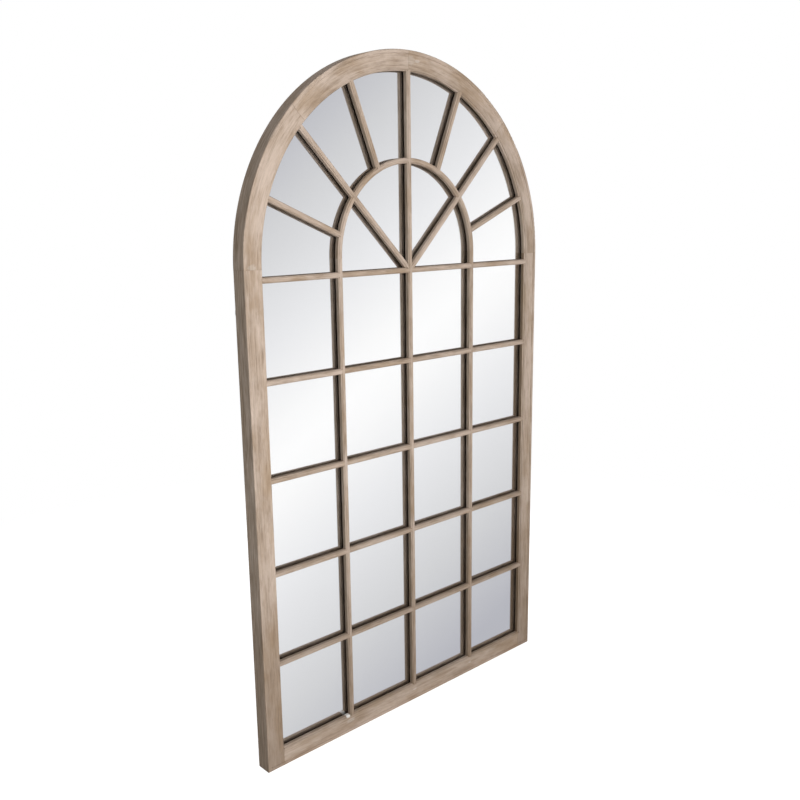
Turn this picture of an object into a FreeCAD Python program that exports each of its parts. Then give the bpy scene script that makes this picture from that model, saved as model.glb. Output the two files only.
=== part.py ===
import FreeCAD, Part
import math
import os

# Arched window mirror: a semicircular-headed timber frame in front of one arched sheet of
# mirror glass, divided by moulded glazing bars into square panes and a radiating fanlight.
#
# Frame of the model: +X to the right as seen from the front, +Z up, the front towards -Y.
# The origin is the middle of the foot of the frame. Depths are measured back from the front
# face of the frame, and "across" is measured from the outer edge of the frame inwards.

# ---------------------------------------------------------------- driving dimensions, mm
overall_width = 1040.0
overall_height = 1790.0
frame_depth = 45.0
frame_face = 51.0            # face width of the stiles, the rail and the arch

# moulding worked on the face of the frame
edge_round = 3.0             # radius of the rounded outer edge
quirk_across = 10.0          # where the outer quirk reaches its bottom
quirk_depth = 2.2
field_dip = 2.9              # deepest point of the hollow field
ovolo = 2.75                 # quarter round along the sight edge of the frame and on the bars
round_fullness = 0.62        # reach of the middle of a quarter round, as a share of its width
frame_quirk = 2.2            # step down from the frame's face to its quarter round
back_ease = 1.2              # bevel on the two back edges
sight_wall = 13.0            # depth at which the sight edge and the bars start to slope back
back_slope = 3.0             # how far they slope back across, down to the glass

# glazing bars
bar_width = 14.0
bar_quirk = 1.4              # step down from the flat nose to each quarter round
bar_housing = 1.0            # how far a bar's end is let into the face of the frame
columns = 4
rows = 5
springline_drop = 25.0       # springline bar below the centre of the arch
fan_rise = 40.0              # centre of the fanlight's inner arc above the springline bar
spoke_angle = 22.5           # angle between neighbouring rays of the fanlight

# glass, back board and their rebates
glass_depth = 17.5           # front of the glass, and the height of the glazing bars
glass_thickness = 4.0
board_thickness = 5.0
glass_cover = 11.0           # width of the glass rebate behind the sight edge
board_ledge = 10.5           # width of the ledge that the board is screwed to
sheet_clearance = 1.5        # gap round the glass and round the board

# frame joints
arch_segments = 4
dowel_radius = 4.0
dowel_length = 36.0
dowel_across = 16.0
dowel_depths = (13.0, 32.0)
dowel_gap = 0.05
dowel_end_gap = 1.0

# screws that hold the board
board_screw_radius = 1.75
board_screw_head = 3.5
board_screw_head_height = 1.8
board_screw_length = 16.0
board_screw_pitch = 320.0
screw_gap = 0.05

# D-ring hangers on the backs of the stiles
hanger_across = 15.0
hanger_drop = 90.0           # the ring's hinge line below the centre of the arch
strap_width = 14.0
strap_length = 54.0
strap_thickness = 1.2
strap_corner = 4.0
ring_wire_radius = 1.5
ring_half_width = 11.5       # to the middle of the wire
ring_corner = 4.0
ring_drop = 21.0             # hinge line to the middle of the wire in the bow
ring_gap = 0.1               # running clearance of the ring in its knuckle
ring_rest_tilt = 2.0         # the hanging ring leans this far off its strap, degrees
hanger_screw_radius = 2.0
hanger_screw_head = 3.8
hanger_screw_head_height = 2.2
hanger_screw_length = 18.0
hanger_screw_drops = (31.0, 46.0)

# ---------------------------------------------------------------- derived sizes
half_width = overall_width / 2
arch_centre = overall_height - half_width
sight_half_width = half_width - frame_face
opening = 2 * sight_half_width
pane_width = (opening - (columns - 1) * bar_width) / columns
side_bar_offset = pane_width + bar_width
springline = arch_centre - springline_drop
fan_centre = springline + fan_rise
row_pitch = (springline + bar_width / 2 - frame_face) / rows
moulding_across = frame_face - ovolo
bar_end_across = moulding_across - bar_housing
hanger_height = arch_centre - hanger_drop
board_depth = glass_depth + glass_thickness
glass_edge = frame_face - glass_cover
board_edge = glass_edge - board_ledge
knuckle_radius = ring_wire_radius + ring_gap + strap_thickness
front = -frame_depth / 2
back = frame_depth / 2
segment_angle = 180.0 / arch_segments

X, Y, Z = FreeCAD.Vector(1, 0, 0), FreeCAD.Vector(0, 1, 0), FreeCAD.Vector(0, 0, 1)
ORIGIN = FreeCAD.Vector(0, 0, 0)
ARCH_CENTRE = FreeCAD.Vector(0, 0, arch_centre)
FAN_CENTRE = FreeCAD.Vector(0, 0, fan_centre)
HUB = FreeCAD.Vector(0, 0, springline)


# ---------------------------------------------------------------- small helpers
def closed_face(steps):
    """Face from an outline: a point draws a line to it, a pair of points an arc through both."""
    edges = []
    here = steps[0]
    for step in steps[1:] + [steps[0]]:
        if isinstance(step, tuple):
            edges.append(Part.Arc(here, step[0], step[1]).toShape())
            here = step[1]
        else:
            edges.append(Part.makeLine(here, step))
            here = step
    return Part.Face(Part.Wire(edges))


def cut_all(shape, tools):
    """The shape with every tool cut away, as one solid: the largest that is left."""
    left = shape.cut(Part.makeCompound(list(tools))).removeSplitter()
    return max(left.Solids, key=lambda solid: solid.Volume)


def turned(shape, angle, centre=ORIGIN):
    """Copy turned in the plane of the mirror, anticlockwise as seen from the front."""
    copy = shape.copy()
    copy.rotate(centre, -Y, angle)
    return copy


def mirrored(shape):
    return shape.mirror(ORIGIN, X)


# ---------------------------------------------------------------- sections
def frame_section():
    """Section of the frame in the XY plane, its outer edge on X = 0 and its inside towards +X."""
    def at(across, depth):
        return FreeCAD.Vector(across, front + depth, 0)

    round_middle = edge_round * (1 - math.sqrt(0.5))
    field_middle = (quirk_across + moulding_across) / 2
    low = frame_quirk + ovolo
    bulge = ovolo * round_fullness
    return closed_face([
        at(0, frame_depth - back_ease),
        at(0, edge_round),
        (at(round_middle, round_middle), at(edge_round, 0)),
        at(quirk_across - quirk_depth / 2, 0),
        at(quirk_across, quirk_depth),
        (at(field_middle, field_dip), at(moulding_across, 0)),
        at(moulding_across, frame_quirk),
        (at(moulding_across + bulge, low - bulge), at(frame_face, low)),
        at(frame_face, sight_wall),
        at(frame_face - back_slope, glass_depth),
        at(glass_edge, glass_depth),
        at(glass_edge, board_depth),
        at(board_edge, board_depth),
        at(board_edge, frame_depth - back_ease),
        at(board_edge - back_ease, frame_depth),
        at(back_ease, frame_depth),
    ])


def bar_section():
    """Section of a glazing bar in the XY plane: a flat nose between two quarter rounds."""
    def at(across, depth):
        return FreeCAD.Vector(across, front + depth, 0)

    half = bar_width / 2
    nose = half - ovolo
    low = bar_quirk + ovolo
    bulge = ovolo * round_fullness
    return closed_face([
        at(-half + back_slope, glass_depth),
        at(-half, sight_wall),
        at(-half, low),
        (at(-nose - bulge, low - bulge), at(-nose, bar_quirk)),
        at(-nose, 0),
        at(nose, 0),
        at(nose, bar_quirk),
        (at(nose + bulge, low - bulge), at(half, low)),
        at(half, sight_wall),
        at(half - back_slope, glass_depth),
    ])


# ---------------------------------------------------------------- frame
def straight_frame(length):
    """A length of the frame moulding standing on the origin plane."""
    return frame_section().extrude(Z * length)


def mitre_wedge():
    """All that lies below the 45 degree line through the bottom left corner of the frame."""
    reach = 2 * half_width
    corner = FreeCAD.Vector(-half_width, -frame_depth, 0)
    outline = [corner, corner + (X + Z) * reach, corner + X * reach - Z, corner - Z]
    return closed_face(outline).extrude(Y * 2 * frame_depth)


def left_stile_and_rail():
    """The stile runs down to the foot of the frame and the rail butts against its inside.

    The moulding turns the corner on the 45 degree line, so the stile keeps the part of the
    rail's moulding that lies outside the shoulder.
    """
    stile = straight_frame(arch_centre)
    stile.translate(-X * half_width)
    rail = turned(straight_frame(overall_width), 90)
    rail = rail.mirror(ORIGIN, X)
    rail.translate(-X * half_width)
    low = mitre_wedge()
    corner = rail.common(low).common(shoulder_box(-1))
    stile = stile.cut(low).fuse(corner).removeSplitter()
    return stile.Solids[0], rail


def shoulder_box(side):
    """All of the corner that lies outside the shoulder of the rail, on one side."""
    start = -half_width - 1 if side < 0 else sight_half_width
    box = Part.makeBox(frame_face + 1, 2 * frame_depth, 2 * frame_face)
    box.translate(FreeCAD.Vector(start, -frame_depth, -1))
    return box


def arch_frame():
    """The arch, cut square to its curve into equal segments, from right to left."""
    section = frame_section().mirror(ORIGIN, X)
    section.translate(FreeCAD.Vector(half_width, 0, arch_centre))
    whole = [turned(section, index * segment_angle, ARCH_CENTRE) for index in range(arch_segments)]
    return [face.revolve(ARCH_CENTRE, -Y, segment_angle) for face in whole]


# ---------------------------------------------------------------- glazing bars
def straight_bar(start, angle, length):
    """A bar from a point in the plane of the mirror, in a direction measured from +X."""
    bar = bar_section().extrude(Z * length)
    bar = turned(bar, angle - 90)
    bar.translate(start)
    return bar


def through_bars():
    """The three upright bars, which run from the rail through every crossing."""
    foot = bar_end_across
    uprights = {}
    for name, offset, top in (
            ("left_bar", -side_bar_offset, fan_centre),
            ("centre_bar", 0.0, overall_height - bar_end_across),
            ("right_bar", side_bar_offset, fan_centre)):
        uprights[name] = straight_bar(FreeCAD.Vector(offset, 0, foot), 90, top - foot)
    return uprights


def cross_bars(uprights):
    """Short bars between the uprights, coped to them, by row from the bottom and column."""
    pieces = {}
    for row in range(1, rows + 1):
        height = frame_face - bar_width / 2 + row * row_pitch
        for column in range(1, columns + 1):
            left = (column - 1 - columns / 2) * side_bar_offset
            right = left + side_bar_offset
            if column == 1:
                left = bar_end_across - half_width
            if column == columns:
                right = half_width - bar_end_across
            blank = straight_bar(FreeCAD.Vector(left, 0, height), 0, right - left)
            pieces[f"cross_bar_{row}_{column}"] = cut_all(blank, uprights.values())
    return pieces


def ray(angle):
    """A ray of the fanlight from the hub to its housing in the arch."""
    lean = math.radians(angle)
    along = springline_drop * math.sin(lean)
    across = springline_drop * math.cos(lean)
    reach = half_width - bar_end_across
    length = along + math.sqrt(reach ** 2 - across ** 2)
    return straight_bar(HUB, angle, length)


def fan_bars(uprights, cross):
    """Two long diagonals, the inner arc in four pieces, and four short rays."""
    middle = [cross[f"cross_bar_{rows}_{column}"] for column in (2, 3)] + [uprights["centre_bar"]]
    diagonals = {
        "right_diagonal": cut_all(ray(2 * spoke_angle), middle),
        "left_diagonal": cut_all(ray(180 - 2 * spoke_angle), middle),
    }
    section = bar_section()
    section.translate(FreeCAD.Vector(side_bar_offset, 0, fan_centre))
    hoop = section.revolve(FAN_CENTRE, -Y, 180)
    crossed = list(diagonals.values()) + [uprights["centre_bar"]]
    quarters = hoop.cut(Part.makeCompound(crossed)).Solids
    quarters.sort(key=lambda solid: -solid.CenterOfMass.x)
    names = ("arc_lower_right", "arc_upper_right", "arc_upper_left", "arc_lower_left")
    arcs = dict(zip(names, quarters))

    inside = Part.makeCylinder(side_bar_offset, 2 * frame_depth, FAN_CENTRE - Y * frame_depth, Y)
    rays = {}
    for name, turn in (("ray_low_right", 1), ("ray_high_right", 3),
                       ("ray_high_left", 5), ("ray_low_left", 7)):
        outer = ray(turn * spoke_angle).cut(inside)
        rays[name] = cut_all(outer, [hoop])
    return {**diagonals, **arcs, **rays}


# ---------------------------------------------------------------- glass and board
def arched_sheet(edge_across, depth, thickness):
    """A sheet with the outline of the frame set in by a distance."""
    half = half_width - edge_across
    left, right = -X * half, X * half
    plane = Y * (front + depth)
    outline = closed_face([
        left + Z * edge_across + plane,
        right + Z * edge_across + plane,
        right + Z * arch_centre + plane,
        (Z * (arch_centre + half) + plane, left + Z * arch_centre + plane),
    ])
    return outline.extrude(Y * thickness)


def board_screw_places():
    """Points in the plane of the mirror along the middle of the board's ledge."""
    across = board_edge + board_ledge / 2
    side = half_width - across
    straight = arch_centre - across
    uprights = max(2, round(straight / board_screw_pitch))
    bottoms = max(2, round(2 * side / board_screw_pitch))
    heads = max(3, round(math.pi * side / board_screw_pitch))
    places = []
    for index in range(uprights):
        height = across + straight * (index + 0.5) / uprights
        places += [(-side, height), (side, height)]
    for index in range(bottoms):
        places.append((-side + 2 * side * (index + 0.5) / bottoms, across))
    for index in range(heads):
        lean = math.pi * (index + 0.5) / heads
        places.append((side * math.cos(lean), arch_centre + side * math.sin(lean)))
    return places


def board_screw(place, gap=0.0):
    """Countersunk screw, its head flush with the back of the board."""
    x, z = place
    seat = front + board_depth + board_thickness
    head_base = seat - board_screw_head_height
    shank = Part.makeCylinder(board_screw_radius + gap, board_screw_length + gap,
                              FreeCAD.Vector(x, seat - board_screw_length - gap, z), Y)
    head = Part.makeCone(board_screw_radius + gap, board_screw_head + gap, board_screw_head_height,
                         FreeCAD.Vector(x, head_base, z), Y)
    return shank.fuse(head).removeSplitter().Solids[0]


# ---------------------------------------------------------------- dowels
def dowel(centre, direction, gap=0.0, end_gap=0.0):
    """Plain dowel across a joint. With the gaps it is the pair of holes that it fits."""
    length = dowel_length + 2 * end_gap
    return Part.makeCylinder(dowel_radius + gap, length, centre - direction * (length / 2), direction)


def dowel_places():
    """Centre and direction of each dowel, over the arch joints and the two rail joints."""
    places = []
    for depth in dowel_depths:
        level = Y * (front + depth)
        for joint in range(arch_segments + 1):
            lean = math.radians(joint * segment_angle)
            outward = X * math.cos(lean) + Z * math.sin(lean)
            along = Z * math.cos(lean) - X * math.sin(lean)
            places.append((ARCH_CENTRE + outward * (half_width - dowel_across) + level, along))
        for side in (-1, 1):
            places.append((X * (side * sight_half_width) + Z * dowel_across + level, X))
    return places


# ---------------------------------------------------------------- hangers
def hinge_point(side):
    return FreeCAD.Vector(side * (half_width - hanger_across), back + knuckle_radius, hanger_height)


def hanger_strap(side):
    """Strap with a knuckle rolled round the straight leg of its ring."""
    hinge = hinge_point(side)
    strap = Part.makeBox(strap_width, strap_thickness, strap_length,
                         FreeCAD.Vector(hinge.x - strap_width / 2, back, hinge.z - strap_length))
    low = [edge for edge in strap.Edges
           if edge.Length < strap_thickness + 0.01 and edge.CenterOfMass.z < hinge.z - strap_length / 2]
    strap = strap.makeFillet(strap_corner, low)
    knuckle = Part.makeCylinder(knuckle_radius, strap_width, hinge - X * (strap_width / 2), X)
    bore = Part.makeCylinder(ring_wire_radius + ring_gap, strap_width + 2,
                             hinge - X * (strap_width / 2 + 1), X)
    holes = [hanger_screw(place, screw_gap) for place in hanger_screw_places(side)]
    return cut_all(strap.fuse(knuckle).removeSplitter(), [bore] + holes)


def hanger_screw_places(side):
    hinge = hinge_point(side)
    return [FreeCAD.Vector(hinge.x, back + strap_thickness, hinge.z - drop)
            for drop in hanger_screw_drops]


def hanger_screw(place, gap=0.0):
    """Pan-headed screw through the strap. With a gap it is the hole for the shank."""
    shank = Part.makeCylinder(hanger_screw_radius + gap, hanger_screw_length + 2 * gap,
                              place - Y * (hanger_screw_length + gap), Y)
    if gap:
        return shank
    rim = hanger_screw_head_height / 2
    low = Part.makeCylinder(hanger_screw_head, rim, place, Y)
    high = Part.makeCone(hanger_screw_head, hanger_screw_head - rim, rim, place + Y * rim, Y)
    return shank.multiFuse([low, high]).removeSplitter().Solids[0]


def round_wire(steps):
    """Round wire along straight runs and arcs in the plane of the mirror, closed on itself.

    Each step is a run's end, or a bend's centre, its angle and the end it comes to.
    """
    lengths = []
    here = steps[0]
    for step in steps[1:]:
        if isinstance(step, tuple):
            centre, angle, there = step
            disc = Part.Face(Part.Wire(Part.makeCircle(ring_wire_radius, here, (here - centre).cross(Y))))
            lengths.append(disc.revolve(centre, -Y, angle))
        else:
            there = step
            lengths.append(Part.makeCylinder(ring_wire_radius, (there - here).Length, here, there - here))
        here = there
    return lengths[0].multiFuse(lengths[1:]).removeSplitter().Solids[0]


def hanger_ring(side):
    """D-shaped ring of round wire, hanging from the knuckle of its strap."""
    hinge = hinge_point(side)
    flat = ring_half_width - ring_corner
    side_drop = ring_drop - ring_half_width

    def at(x, drop):
        return hinge + X * x - Z * drop

    ring = round_wire([
        at(flat, 0),
        at(-flat, 0),
        (at(-flat, ring_corner), 90, at(-ring_half_width, ring_corner)),
        at(-ring_half_width, side_drop),
        (at(0, side_drop), 180, at(ring_half_width, side_drop)),
        at(ring_half_width, ring_corner),
        (at(flat, ring_corner), 90, at(flat, 0)),
    ])
    ring.rotate(hinge, X, ring_rest_tilt)
    return ring


# ---------------------------------------------------------------- the whole mirror
def build():
    stile, rail = left_stile_and_rail()
    rail = rail.cut(shoulder_box(-1)).cut(shoulder_box(1))
    frame = {"left_stile": stile, "right_stile": mirrored(stile), "bottom_rail": rail}
    names = ("arch_lower_right", "arch_upper_right", "arch_upper_left", "arch_lower_left")
    frame.update(zip(names, arch_frame()))

    uprights = through_bars()
    cross = cross_bars(uprights)
    bars = {**uprights, **cross, **fan_bars(uprights, cross)}

    screw_places = board_screw_places()
    hanger_places = hanger_screw_places(-1) + hanger_screw_places(1)
    board_holes = [board_screw(place, screw_gap) for place in screw_places]
    hanger_holes = [hanger_screw(place, screw_gap) for place in hanger_places]
    dowel_holes = [dowel(centre, along, dowel_gap, dowel_end_gap) for centre, along in dowel_places()]
    cutters = list(bars.values()) + board_holes + hanger_holes + dowel_holes
    parts = {name: cut_all(piece, cutters) for name, piece in frame.items()}
    parts.update(bars)

    parts["mirror_glass"] = arched_sheet(glass_edge + sheet_clearance, glass_depth, glass_thickness)
    board = arched_sheet(board_edge + sheet_clearance, board_depth, board_thickness)
    parts["back_board"] = cut_all(board, board_holes)
    parts["board_screws"] = Part.makeCompound([board_screw(place) for place in screw_places])
    parts["frame_dowels"] = Part.makeCompound([dowel(*place) for place in dowel_places()])
    for name, side in (("left", -1), ("right", 1)):
        parts[f"{name}_hanger"] = hanger_strap(side)
        parts[f"{name}_ring"] = hanger_ring(side)
    parts["hanger_screws"] = Part.makeCompound([hanger_screw(place) for place in hanger_places])
    return parts


os.makedirs("parts", exist_ok=True)
for node, shape in build().items():
    shape.exportStep(f"parts/{node}.step")
    print(f"{node:18s} {len(shape.Solids):3d} solid(s) {len(shape.Faces):4d} faces "
          f"{shape.Volume / 1000:9.2f} cm3 valid {shape.isValid()}")
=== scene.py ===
import math

import bmesh
import bpy
from mathutils import Matrix, Vector
from mathutils.kdtree import KDTree


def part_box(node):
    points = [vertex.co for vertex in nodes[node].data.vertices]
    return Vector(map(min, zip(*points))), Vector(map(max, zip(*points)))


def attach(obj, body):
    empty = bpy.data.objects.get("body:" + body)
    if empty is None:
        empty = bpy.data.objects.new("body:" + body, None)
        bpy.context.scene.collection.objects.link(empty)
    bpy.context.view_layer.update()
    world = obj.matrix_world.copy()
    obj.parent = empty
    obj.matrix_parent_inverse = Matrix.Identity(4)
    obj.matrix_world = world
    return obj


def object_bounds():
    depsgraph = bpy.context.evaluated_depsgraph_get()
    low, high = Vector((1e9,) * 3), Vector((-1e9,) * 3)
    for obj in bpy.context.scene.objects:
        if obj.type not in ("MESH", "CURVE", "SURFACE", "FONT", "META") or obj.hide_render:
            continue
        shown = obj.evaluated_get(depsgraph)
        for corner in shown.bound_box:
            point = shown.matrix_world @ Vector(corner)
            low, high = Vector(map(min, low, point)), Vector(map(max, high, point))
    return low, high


# Looks of the arched window mirror: limewashed timber, a silvered sheet of glass, a fibreboard
# back with zinc-plated screws and ring hangers. The mirror stands upright on its foot at z = 0,
# its front towards -Y. Everything is in metres, in the same frame as the solid model.

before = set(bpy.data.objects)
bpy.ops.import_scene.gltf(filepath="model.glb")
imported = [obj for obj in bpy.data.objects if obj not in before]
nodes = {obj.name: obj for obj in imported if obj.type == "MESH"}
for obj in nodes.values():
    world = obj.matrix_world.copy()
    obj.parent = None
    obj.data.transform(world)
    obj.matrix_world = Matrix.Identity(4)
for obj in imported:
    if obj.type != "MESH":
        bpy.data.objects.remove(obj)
bounds_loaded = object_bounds()
collection = bpy.context.scene.collection

# ---------------------------------------------------------------- sizes read from the solids
whole_low, whole_high = bounds_loaded
half_width = -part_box("left_stile")[0].x
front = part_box("left_stile")[0].y
arch_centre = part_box("arch_upper_left")[1].z - half_width
apex = whole_high.z
frame_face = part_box("bottom_rail")[1].z
sight_half_width = half_width - frame_face
fan_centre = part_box("left_bar")[1].z
bar_low, bar_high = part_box("right_bar")
bar_offset = bar_low.x / 2 + bar_high.x / 2
glass_low, glass_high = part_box("mirror_glass")

# ---------------------------------------------------------------- colours, linear
BROWN = (0.150, 0.098, 0.056, 1)
TAN = (0.450, 0.345, 0.262, 1)
WASH = (0.600, 0.490, 0.410, 1)
STAIN = (0.310, 0.208, 0.120, 1)
GREY_BROWN = (0.245, 0.198, 0.150, 1)
FILLER = (0.860, 0.830, 0.790, 1)
BEECH = (0.550, 0.380, 0.240, 1)
BOARD_DARK = (0.120, 0.066, 0.036, 1)
BOARD_LIGHT = (0.230, 0.140, 0.080, 1)
ZINC = (0.640, 0.640, 0.620, 1)
DULL_ZINC = (0.500, 0.490, 0.450, 1)
GLASS = (0.985, 0.992, 0.990, 1)
SILVER = (0.970, 0.965, 0.970, 1)
FLOOR = (0.800, 0.800, 0.800, 1)
WHITE = (1, 1, 1, 1)
SIDE_LIGHT = (0.380, 0.380, 0.385, 1)
TOP_LIGHT = (0.080, 0.080, 0.085, 1)


# ---------------------------------------------------------------- node helpers
def add(tree, kind, inputs=None, **settings):
    """A shader node; each input is a value, or the socket that feeds it."""
    made = tree.nodes.new("ShaderNode" + kind)
    for name, value in settings.items():
        setattr(made, name, value)
    for name, value in (inputs or {}).items():
        feed(tree, made.inputs[name], value)
    return made


def feed(tree, socket, value):
    """Links a socket to an input, or sets the input to a value."""
    if isinstance(value, bpy.types.NodeSocket):
        tree.links.new(value, socket)
    else:
        socket.default_value = value


def maths(tree, operation, *values):
    return add(tree, "Math", dict(enumerate(values)), operation=operation).outputs[0]


def vector(tree, operation, first, second):
    return add(tree, "VectorMath", {0: first, 1: second}, operation=operation).outputs[0]


def length(tree, of):
    return add(tree, "VectorMath", {0: of}, operation="LENGTH").outputs["Value"]


def ramp(tree, value, low, high, to_low=0.0, to_high=1.0):
    """The value's range from low to high, drawn smoothly to another range."""
    return add(tree, "MapRange", {"Value": value, "From Min": low, "From Max": high,
                                  "To Min": to_low, "To Max": to_high},
               interpolation_type="SMOOTHSTEP").outputs["Result"]


def mix(tree, share, first, second):
    """First colour, with this share of the second."""
    made = add(tree, "Mix", data_type="RGBA")
    for index, value in ((0, share), (6, first), (7, second)):
        feed(tree, made.inputs[index], value)
    return made.outputs[2]


def noise(tree, place, scale, detail=3.0, roughness=0.55):
    """Noise between 0 and 1, with about this many features per metre."""
    return add(tree, "TexNoise", {"Vector": place, "Scale": scale, "Detail": detail,
                                  "Roughness": roughness}).outputs["Fac"]


def split(tree, of):
    return add(tree, "SeparateXYZ", {"Vector": of}).outputs


def object_place(tree):
    return add(tree, "TexCoord").outputs["Object"]


def new_material(name):
    material = bpy.data.materials.new(name)
    material.use_nodes = True
    material.node_tree.nodes.clear()
    return material, material.node_tree


def finish_material(tree, **inputs):
    """Ends a material with a principled shader; input names have _ for a space."""
    sockets = {key.replace("_", " "): value for key, value in inputs.items()}
    shader = add(tree, "BsdfPrincipled", sockets)
    add(tree, "OutputMaterial", {"Surface": shader.outputs["BSDF"]})


def paint(material, *names):
    """Puts a material on every face of the named solids."""
    for name in names:
        mesh = nodes[name].data
        mesh.materials.clear()
        mesh.materials.append(material)


# ---------------------------------------------------------------- wood
grain_stretch = (1.0, 1.0, 0.045)     # streaks are some 20 times as long as they are wide
cloud_stretch = (1.0, 1.0, 0.35)      # clouds in the wash are three times as long as wide
seed_spread = 7.0                     # how far apart along the grain two members are cut
shade_height = 0.75                   # painted shade darkens the wood from here down to the foot
corner_shade_reach = 0.005                  # how far painted shade spreads out of an inner corner
arris = 0.0008                        # the wear that softens an outer edge
grain_depth = 0.0004
seam_low, seam_high = 0.0005, 0.0011  # half width of a seam, from full dark to none
seam_wobble = 0.0009
eighth = math.pi / 4


def straight_grain(tree, place, angle):
    """Place turned so that its Z runs along a member that leans this far up from +X."""
    turn = math.radians(angle - 90)
    return add(tree, "VectorRotate", {"Vector": place, "Angle": turn},
               rotation_type="Y_AXIS").outputs[0]


def curved_grain(tree, place, centre_height, mean_radius):
    """Place unrolled round a centre: X is the distance from it and Z runs along the curve."""
    parts = split(tree, place)
    height = maths(tree, "SUBTRACT", parts["Z"], centre_height)
    radius = maths(tree, "SQRT", maths(tree, "ADD", maths(tree, "POWER", parts["X"], 2.0),
                                       maths(tree, "POWER", height, 2.0)))
    angle = maths(tree, "ARCTAN2", parts["X"], height)
    return add(tree, "CombineXYZ", {"X": radius, "Y": parts["Y"],
                                    "Z": maths(tree, "MULTIPLY", angle, mean_radius)}).outputs[0]


def patch_mask(tree, place, patches):
    """Ragged spots of filler: each is a centre, its half sizes, both (x, z), and its cover."""
    wobble = noise(tree, place, 260.0, 4.0, 0.7)
    total = 0.0
    for (x, z), (half_x, half_z), cover in patches:
        away = vector(tree, "SUBTRACT", place, (x, front, z))
        shrunk = vector(tree, "MULTIPLY", away, (1 / half_x, 0.0, 1 / half_z))
        ragged = maths(tree, "ADD", length(tree, shrunk), maths(tree, "MULTIPLY", wobble, 1.6))
        total = maths(tree, "MAXIMUM", total, ramp(tree, ragged, 2.0, 1.4, 0.0, cover))
    return total


def washed_wood(name, grain, patches=(), seams=None, foot_shade=0.46):
    """Limewashed timber: pale wash over brown streaks, with painted shade on its sides, in its
    corners and towards its foot.
    """
    material, tree = new_material(name)
    place = object_place(tree)
    along = grain(tree, place)
    seed = add(tree, "ObjectInfo").outputs["Random"]
    shift = add(tree, "CombineXYZ", {
        "X": seed, "Z": maths(tree, "MULTIPLY", seed, seed_spread)}).outputs[0]
    moved = vector(tree, "ADD", along, shift)
    drawn = vector(tree, "MULTIPLY", moved, grain_stretch)
    cloudy = vector(tree, "MULTIPLY", moved, cloud_stretch)
    streaks = noise(tree, drawn, 330.0, 5.0, 0.62)
    fine = noise(tree, drawn, 1100.0, 3.0, 0.6)
    clouds = noise(tree, cloudy, 26.0, 4.0, 0.6)
    stains = noise(tree, cloudy, 17.0, 4.0, 0.65)
    lines = noise(tree, drawn, 260.0, 3.0, 0.6)

    colour = mix(tree, ramp(tree, streaks, 0.32, 0.62, 0.30, 1.0), BROWN, TAN)
    colour = mix(tree, ramp(tree, clouds, 0.34, 0.66, 0.10, 0.72), colour, WASH)
    colour = mix(tree, ramp(tree, stains, 0.46, 0.70, 0.0, 0.50), colour, STAIN)
    colour = mix(tree, ramp(tree, fine, 0.45, 0.75, 0.0, 0.35), colour, BROWN)
    colour = mix(tree, ramp(tree, lines, 0.54, 0.70, 0.0, 0.22), colour, BROWN)

    # the sides are painted darker: painted shade on faces turned to either side, in patches that
    # follow the streaks, with dark cracks along the grain
    facing = split(tree, add(tree, "NewGeometry").outputs["Normal"])
    sideways = ramp(tree, maths(tree, "ABSOLUTE", facing["X"]), 0.6, 0.95)
    # painted shade: faces turned sideways take grey brown in streaky patches
    side_shade_patches = ramp(tree, streaks, 0.62, 0.38, 0.35, 0.85)
    colour = mix(tree, maths(tree, "MULTIPLY", sideways, side_shade_patches), colour, GREY_BROWN)
    cracks = ramp(tree, lines, 0.53, 0.64, 0.0, 0.65)
    colour = mix(tree, maths(tree, "MULTIPLY", sideways, cracks), colour, BROWN)
    # painted shade: the wood is drawn darker towards the foot
    low_down = ramp(tree, split(tree, place)["Z"], shade_height, 0.0, 0.0, foot_shade)
    colour = mix(tree, low_down, colour, BROWN)

    # painted shade: inner corners and the walls beside them are drawn darker
    corner = add(tree, "AmbientOcclusion", {"Distance": corner_shade_reach}, samples=8).outputs["AO"]
    colour = mix(tree, ramp(tree, corner, 0.85, 0.35, 0.0, 0.45), colour, BROWN)
    if seams:
        colour = mix(tree, seams(tree, place, streaks), colour, BROWN)
    if patches:
        colour = mix(tree, patch_mask(tree, place, patches), colour, FILLER)

    grooves = maths(tree, "ADD", streaks, maths(tree, "MULTIPLY", fine, 0.5))
    soft = add(tree, "Bevel", {"Radius": arris}, samples=4).outputs["Normal"]
    bump = add(tree, "Bump", {"Height": grooves, "Distance": grain_depth, "Strength": 0.5,
                              "Normal": soft})
    finish_material(tree, Base_Color=colour, Roughness=0.72, Specular_IOR_Level=0.3,
                    Normal=bump.outputs[0])
    return material


def fine_line(tree, away, streaks):
    """Dark line where the distance from a joint is nearly nothing."""
    ragged = maths(tree, "ADD", away, maths(tree, "MULTIPLY", streaks, seam_wobble))
    return ramp(tree, ragged, seam_high, seam_low, 0.0, 0.75)


def joint_seams(tree, place, streaks):
    """Fine dark lines where the lengths of the arch meet, every 45 degrees."""
    parts = split(tree, place)
    height = maths(tree, "SUBTRACT", parts["Z"], arch_centre)
    turn = maths(tree, "DIVIDE", maths(tree, "ARCTAN2", height, parts["X"]), eighth)
    off = maths(tree, "ABSOLUTE", maths(tree, "SUBTRACT", turn, maths(tree, "ROUND", turn)))
    return fine_line(tree, maths(tree, "MULTIPLY", off, half_width * eighth), streaks)


def shoulder_seams(tree, place, streaks):
    """Fine dark line where the rail butts against each stile."""
    across = maths(tree, "ABSOLUTE", split(tree, place)["X"])
    away = maths(tree, "ABSOLUTE", maths(tree, "SUBTRACT", across, sight_half_width))
    return fine_line(tree, away, streaks)


def grain_at(angle):
    return lambda tree, place: straight_grain(tree, place, angle)


def grain_round(centre_height, mean_radius):
    return lambda tree, place: curved_grain(tree, place, centre_height, mean_radius)


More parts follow.
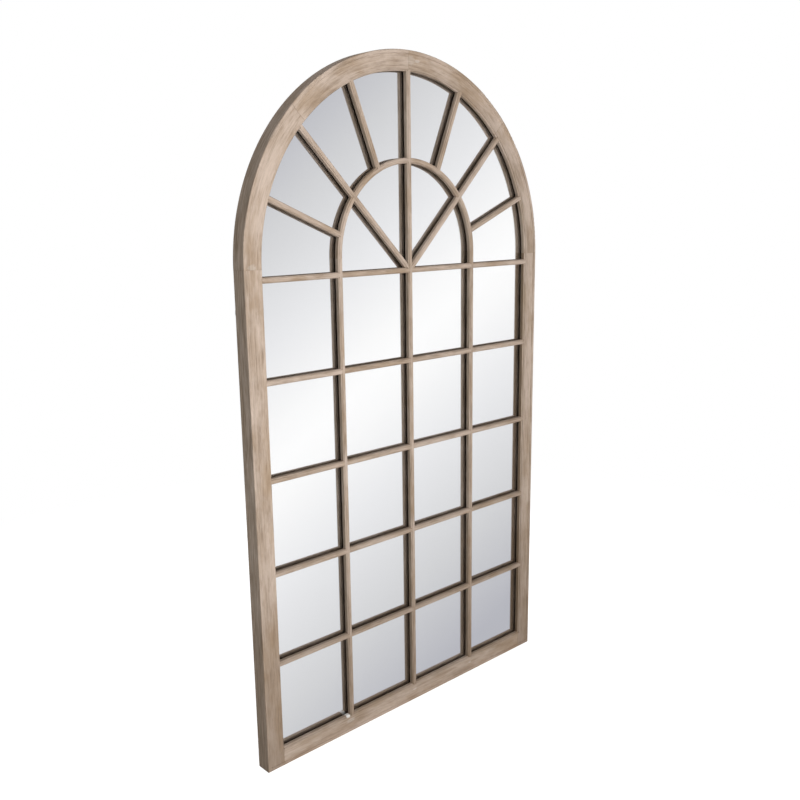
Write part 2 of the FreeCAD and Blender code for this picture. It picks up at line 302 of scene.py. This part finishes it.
rail_patches = [
    ((-bar_offset - 0.015, frame_face - 0.001), (0.0065, 0.005), 1.0),
    ((-bar_offset - 0.006, frame_face - 0.018), (0.016, 0.007), 0.16),
    ((0.002, frame_face - 0.020), (0.007, 0.003), 0.22),
    ((bar_offset, frame_face - 0.022), (0.006, 0.003), 0.22)]
arch_patches = [
    ((0.010, apex - 0.024), (0.014, 0.012), 0.15),
    ((0.032, apex - 0.024), (0.010, 0.004), 0.22),
    ((-half_width + 0.024, arch_centre + 0.004), (0.012, 0.009), 0.16)]
quarters = ("lower_right", "upper_right", "upper_left", "lower_left")
rays = {"ray_low_right": 22.5, "right_diagonal": 45, "ray_high_right": 67.5,
        "ray_high_left": 112.5, "left_diagonal": 135, "ray_low_left": 157.5}

paint(washed_wood("wood_upright", grain_at(90)), "left_bar", "centre_bar", "right_bar")
paint(washed_wood("wood_stile", grain_at(90), seams=shoulder_seams), "left_stile", "right_stile")
paint(washed_wood("wood_level", grain_at(0)),
      *(name for name in nodes if name.startswith("cross_bar")))
paint(washed_wood("wood_rail", grain_at(0), rail_patches, shoulder_seams, foot_shade=0.14),
      "bottom_rail")
paint(washed_wood("wood_arch", grain_round(arch_centre, half_width), arch_patches, joint_seams),
      *(f"arch_{part}" for part in quarters))
paint(washed_wood("wood_arc", grain_round(fan_centre, bar_offset)),
      *(f"arc_{part}" for part in quarters))
for name, angle in rays.items():
    paint(washed_wood(f"wood_{name}", grain_at(angle)), name)


# ---------------------------------------------------------------- glass and silvering
glass, tree = new_material("clear_glass")
finish_material(tree, Base_Color=GLASS, Roughness=0.0, IOR=1.5, Transmission_Weight=1.0)
silver, tree = new_material("silvering")
finish_material(tree, Base_Color=SILVER, Roughness=0.0, Metallic=1.0)
paint(glass, "mirror_glass")

# the silver coat is a thin sheet just inside the back of the glass, in the glass's own outline
silver_front = glass_high.y - 0.00010
silver_thickness = 0.00005
silver_inset = 0.9995
middle_height = (glass_low.z + glass_high.z) / 2
silver_mesh = nodes["mirror_glass"].data.copy()
for vertex in silver_mesh.vertices:
    share = (vertex.co.y - glass_low.y) / (glass_high.y - glass_low.y)
    vertex.co.y = silver_front + share * silver_thickness
    vertex.co.x *= silver_inset
    vertex.co.z = middle_height + (vertex.co.z - middle_height) * silver_inset
silver_mesh.materials.clear()
silver_mesh.materials.append(silver)
silver_coat = bpy.data.objects.new("silver_coat", silver_mesh)
collection.objects.link(silver_coat)
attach(silver_coat, "frame")


# ---------------------------------------------------------------- back board, dowels and metal
def fibreboard():
    """Brown board of pressed fibres, a little clouded."""
    material, tree = new_material("fibreboard")
    place = object_place(tree)
    fibres = noise(tree, place, 420.0, 5.0, 0.7)
    clouds = noise(tree, place, 6.0)
    colour = mix(tree, ramp(tree, fibres, 0.3, 0.7), BOARD_DARK, BOARD_LIGHT)
    colour = mix(tree, ramp(tree, clouds, 0.35, 0.7, 0.0, 0.4), colour, BOARD_LIGHT)
    bump = add(tree, "Bump", {"Height": fibres, "Distance": 0.0003, "Strength": 0.5})
    finish_material(tree, Base_Color=colour, Roughness=0.6, Specular_IOR_Level=0.35,
                    Normal=bump.outputs[0])
    return material


def beech():
    """Bare beech with short flecks."""
    material, tree = new_material("beech")
    flecks = noise(tree, object_place(tree), 500.0, 4.0)
    colour = mix(tree, ramp(tree, flecks, 0.35, 0.7), BEECH, TAN)
    finish_material(tree, Base_Color=colour, Roughness=0.65)
    return material


def zinc(name, roughness):
    """Bright zinc plate: clouded and a little uneven, with fine scuffs."""
    material, tree = new_material(name)
    place = object_place(tree)
    spangle = noise(tree, place, 380.0)
    scuffs = noise(tree, place, 2400.0, 2.0)
    colour = mix(tree, ramp(tree, spangle, 0.35, 0.7, 0.0, 0.4), ZINC, DULL_ZINC)
    rough = maths(tree, "ADD", roughness, maths(tree, "MULTIPLY", spangle, 0.15))
    bump = add(tree, "Bump", {"Height": scuffs, "Distance": 0.00005, "Strength": 0.4})
    finish_material(tree, Base_Color=colour, Metallic=1.0, Roughness=rough,
                    Normal=bump.outputs[0])
    return material


paint(fibreboard(), "back_board")
paint(beech(), "frame_dowels")
paint(zinc("zinc_strap", 0.28), "left_hanger", "right_hanger", "left_ring", "right_ring")
paint(zinc("zinc_screw", 0.34), "board_screws", "hanger_screws")

# ---------------------------------------------------------------- cross recesses of the screws
same_screw = 0.003        # points of one screw lie closer together than this
turn_between = 1.1        # radians that each cross is turned from the one before


def screw_middles(name):
    """Middles, in the plane of the mirror, of the screws that a node holds."""
    flat = [Vector((vertex.co.x, 0.0, vertex.co.z)) for vertex in nodes[name].data.vertices]
    search = KDTree(len(flat))
    for index, point in enumerate(flat):
        search.insert(point, index)
    search.balance()
    left = set(range(len(flat)))
    middles = []
    while left:
        group = []
        stack = [left.pop()]
        while stack:
            index = stack.pop()
            group.append(flat[index])
            near = {found[1] for found in search.find_range(flat[index], same_screw)} & left
            left -= near
            stack += near
        xs = [point.x for point in group]
        zs = [point.z for point in group]
        middles.append(((min(xs) + max(xs)) / 2, (min(zs) + max(zs)) / 2))
    return middles


def cut_recesses(name, arm_length, arm_width, depth):
    """Cuts a cross into the head of every screw of a node."""
    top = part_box(name)[1].y
    work = bmesh.new()
    for count, (x, z) in enumerate(screw_middles(name)):
        stand = Matrix.Translation((x, top, z)) @ Matrix.Rotation(count * turn_between, 4, "Y")
        for across, along in ((arm_length, arm_width), (arm_width, arm_length)):
            size = Matrix.Diagonal((across, 2 * depth, along, 1))
            bmesh.ops.create_cube(work, size=1.0, matrix=stand @ size)
    cutter_mesh = bpy.data.meshes.new(f"{name}_recesses")
    work.to_mesh(cutter_mesh)
    cutter = bpy.data.objects.new(f"{name}_recesses", cutter_mesh)
    collection.objects.link(cutter)
    cutter.hide_render = True
    cut = nodes[name].modifiers.new("recesses", "BOOLEAN")
    cut.object = cutter
    cut.operation = "DIFFERENCE"
    cut.solver = "EXACT"
    cut.use_self = True


cut_recesses("board_screws", 0.0038, 0.0009, 0.0012)
cut_recesses("hanger_screws", 0.0042, 0.0010, 0.0013)

# ---------------------------------------------------------------- camera
# solved from the edges and bars: focal length and middle in pixels, place, and three directions
picture_px = 800
focal_px = 888.16
centre_px = (379.66, 412.84)
sensor_mm = 36.0
camera_place = Vector((-1.6382, -1.7286, 1.3847))
camera_right = Vector((0.744245, -0.667672, -0.017688))
camera_down = Vector((-0.157155, -0.149317, -0.976221))
camera_view = Vector((0.649154, 0.729328, -0.216056))

lens = bpy.data.cameras.new("camera")
lens.sensor_width = sensor_mm
lens.lens = focal_px * sensor_mm / picture_px
lens.shift_x = (picture_px / 2 - centre_px[0]) / picture_px
lens.shift_y = (centre_px[1] - picture_px / 2) / picture_px
camera = bpy.data.objects.new("camera", lens)
turned = Matrix((camera_right, -camera_down, -camera_view)).transposed().to_4x4()
camera.matrix_world = Matrix.Translation(camera_place) @ turned
collection.objects.link(camera)
bpy.context.scene.camera = camera

# ---------------------------------------------------------------- floor
# grey to the light, and white to the camera; it fades to plain white away from the mirror
floor_reach = 30.0
floor_gap = 0.0005
floor_glow = 0.78
fade_start, fade_end = 1.0, 2.5

drop = whole_low.z - floor_gap
floor_mesh = bpy.data.meshes.new("floor")
floor_mesh.from_pydata([(-floor_reach, -floor_reach, drop), (floor_reach, -floor_reach, drop),
                        (floor_reach, floor_reach, drop), (-floor_reach, floor_reach, drop)],
                       [], [(0, 1, 2, 3)])
floor = bpy.data.objects.new("floor", floor_mesh)
collection.objects.link(floor)
floor.visible_glossy = False
floor.visible_transmission = False

floor_material, tree = new_material("floor")
to_camera = add(tree, "LightPath").outputs["Is Camera Ray"]
lit = add(tree, "BsdfDiffuse", {"Color": FLOOR})
glow = add(tree, "Emission", {"Color": WHITE,
                              "Strength": maths(tree, "MULTIPLY", to_camera, floor_glow)})
near = add(tree, "AddShader", {0: lit.outputs[0], 1: glow.outputs[0]})
far = add(tree, "Emission", {"Color": WHITE, "Strength": 1.0})
away = length(tree, object_place(tree))
fade = maths(tree, "MULTIPLY", ramp(tree, away, fade_start, fade_end), to_camera)
both = add(tree, "MixShader", {0: fade, 1: near.outputs[0], 2: far.outputs[0]})
add(tree, "OutputMaterial", {"Surface": both.outputs[0]})
floor_mesh.materials.append(floor_material)

# ---------------------------------------------------------------- studio
# what glass and metal reflect: a bright band that falls away to grey on both sides and comes
# up again further off; each stop is the sine of the angle from the band's plane, and a colour
band_normal = (-0.412, -0.538, 0.736)
band = [(0.00, (1.03, 1.03, 1.03, 1)),
        (0.03, (1.00, 1.00, 1.00, 1)),
        (0.10, (0.86, 0.865, 0.88, 1)),
        (0.20, (0.67, 0.675, 0.69, 1)),
        (0.28, (0.49, 0.495, 0.54, 1)),
        (0.40, (0.44, 0.45, 0.48, 1)),
        (0.58, (0.66, 0.67, 0.69, 1)),
        (0.80, (0.86, 0.865, 0.88, 1))]

world = bpy.data.worlds.new("studio")
world.use_nodes = True
bpy.context.scene.world = world
tree = world.node_tree
tree.nodes.clear()
direction = add(tree, "TexCoord").outputs["Generated"]
from_plane = add(tree, "VectorMath", {0: direction, 1: band_normal}, operation="DOT_PRODUCT")
off_band = maths(tree, "ABSOLUTE", from_plane.outputs["Value"])
shades = add(tree, "ValToRGB", {"Fac": off_band})
stops = shades.color_ramp.elements
stops[0].position, stops[0].color = band[0]
stops[1].position, stops[1].color = band[-1]
for position, shade in band[1:-1]:
    stops.new(position).color = shade
path = add(tree, "LightPath").outputs
reflected = maths(tree, "MAXIMUM", path["Is Glossy Ray"], path["Is Transmission Ray"])
ambient = mix(tree, ramp(tree, split(tree, direction)["Z"], 0.1, 0.9), SIDE_LIGHT, TOP_LIGHT)
direct = mix(tree, path["Is Camera Ray"], ambient, WHITE)
sky = mix(tree, reflected, direct, shades.outputs["Color"])
background = add(tree, "Background", {"Color": sky, "Strength": 1.0})
add(tree, "OutputWorld", {"Surface": background.outputs[0]})


def softbox(name, place, size, power):
    """Square area lamp, turned to the mirror's middle, that reflections don't show."""
    lamp = bpy.data.lights.new(name, "AREA")
    lamp.size = size
    lamp.energy = power
    holder = bpy.data.objects.new(name, lamp)
    holder.location = place
    aim = Vector((0.0, 0.0, 1.0)) - Vector(place)
    holder.rotation_euler = aim.to_track_quat("-Z", "Y").to_euler()
    holder.visible_glossy = False
    holder.visible_transmission = False
    collection.objects.link(holder)


softbox("key", (-1.25, -2.9, 1.6), 2.0, 98.0)
softbox("back_fill", (1.6, 3.2, 2.8), 2.4, 90.0)

# ---------------------------------------------------------------- picture settings and finish
bpy.context.scene.view_settings.view_transform = "Standard"
